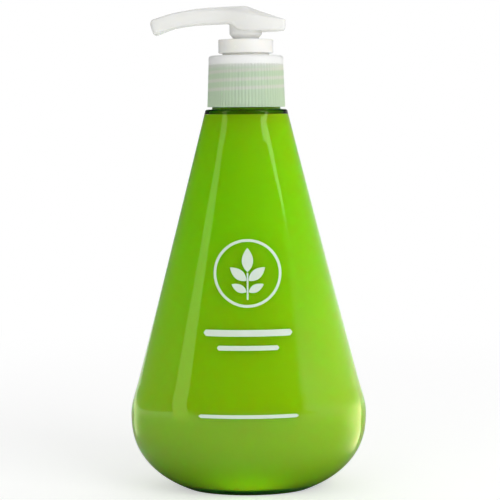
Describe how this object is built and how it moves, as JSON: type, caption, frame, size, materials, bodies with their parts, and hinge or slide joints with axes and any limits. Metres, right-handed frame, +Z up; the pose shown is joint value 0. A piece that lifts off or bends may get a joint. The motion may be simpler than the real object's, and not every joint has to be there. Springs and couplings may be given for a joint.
{
  "type": "toothpaste pump dispenser",
  "caption": "Oval cone-shaped gel bottle with a ribbed screw collar, a lock ring and a press-down pump head with a long drooping nozzle and a thumb tab.",
  "frame": {"origin": "middle of the foot on the bottle's axis, on the surface it stands on", "axes": "+Z up the bottle's axis, X across its width with the nozzle towards -X, front towards -Y"},
  "size_m": [0.0828, 0.0548, 0.1685],
  "materials": {
    "clear_green_bottle": "clear blow-moulded wall, glossy",
    "green_gel": "cloudy bright green gel",
    "frosted_plastic": "frosted translucent, ribbed",
    "warm_white_plastic": "satin white",
    "milky_plastic": "milky white, satin",
    "natural_plastic": "natural uncoloured, satin",
    "soft_seal": "soft matt seal",
    "spring_steel": "drawn steel wire",
    "ball_steel": "polished ball"
  },
  "bodies": {
    "bottle": {"bottle": "clear_green_bottle", "gel": "green_gel"},
    "pump": {"pump_housing": "natural_plastic", "lock_ring": "warm_white_plastic", "gasket": "soft_seal", "dip_tube": "natural_plastic", "ball_cage": "natural_plastic", "return_spring": "spring_steel"},
    "collar": {"screw_collar": "frosted_plastic"},
    "plunger": {"stem": "milky_plastic", "valve_rod": "natural_plastic"},
    "piston": {"piston": "soft_seal"},
    "head": {"pump_head": "milky_plastic"},
    "valve_ball": {"inlet_ball": "ball_steel"}
  },
  "joints": [
    {"name": "pump_lift", "type": "slide", "parent": "bottle", "child": "pump", "axis": [0, 0, 1], "range_m": [0, 0.146]},
    {"name": "collar_turn", "type": "hinge", "parent": "pump", "child": "collar", "pos_m": [0, 0, 0.145], "axis": [0, 0, 1], "continuous": true},
    {"name": "head_lift", "type": "slide", "parent": "pump", "child": "plunger", "axis": [0, 0, 1], "range_m": [0, 0.014], "deforming": ["return_spring"]},
    {"name": "head_swivel", "type": "hinge", "parent": "plunger", "child": "head", "pos_m": [0, 0, 0.157], "axis": [0, 0, 1], "continuous": true},
    {"name": "piston_slip", "type": "slide", "parent": "plunger", "child": "piston", "axis": [0, 0, 1], "range_m": [0, 0.0008]},
    {"name": "ball_lift", "type": "slide", "parent": "pump", "child": "valve_ball", "axis": [0, 0, 1], "range_m": [0, 0.0009]}
  ]
}
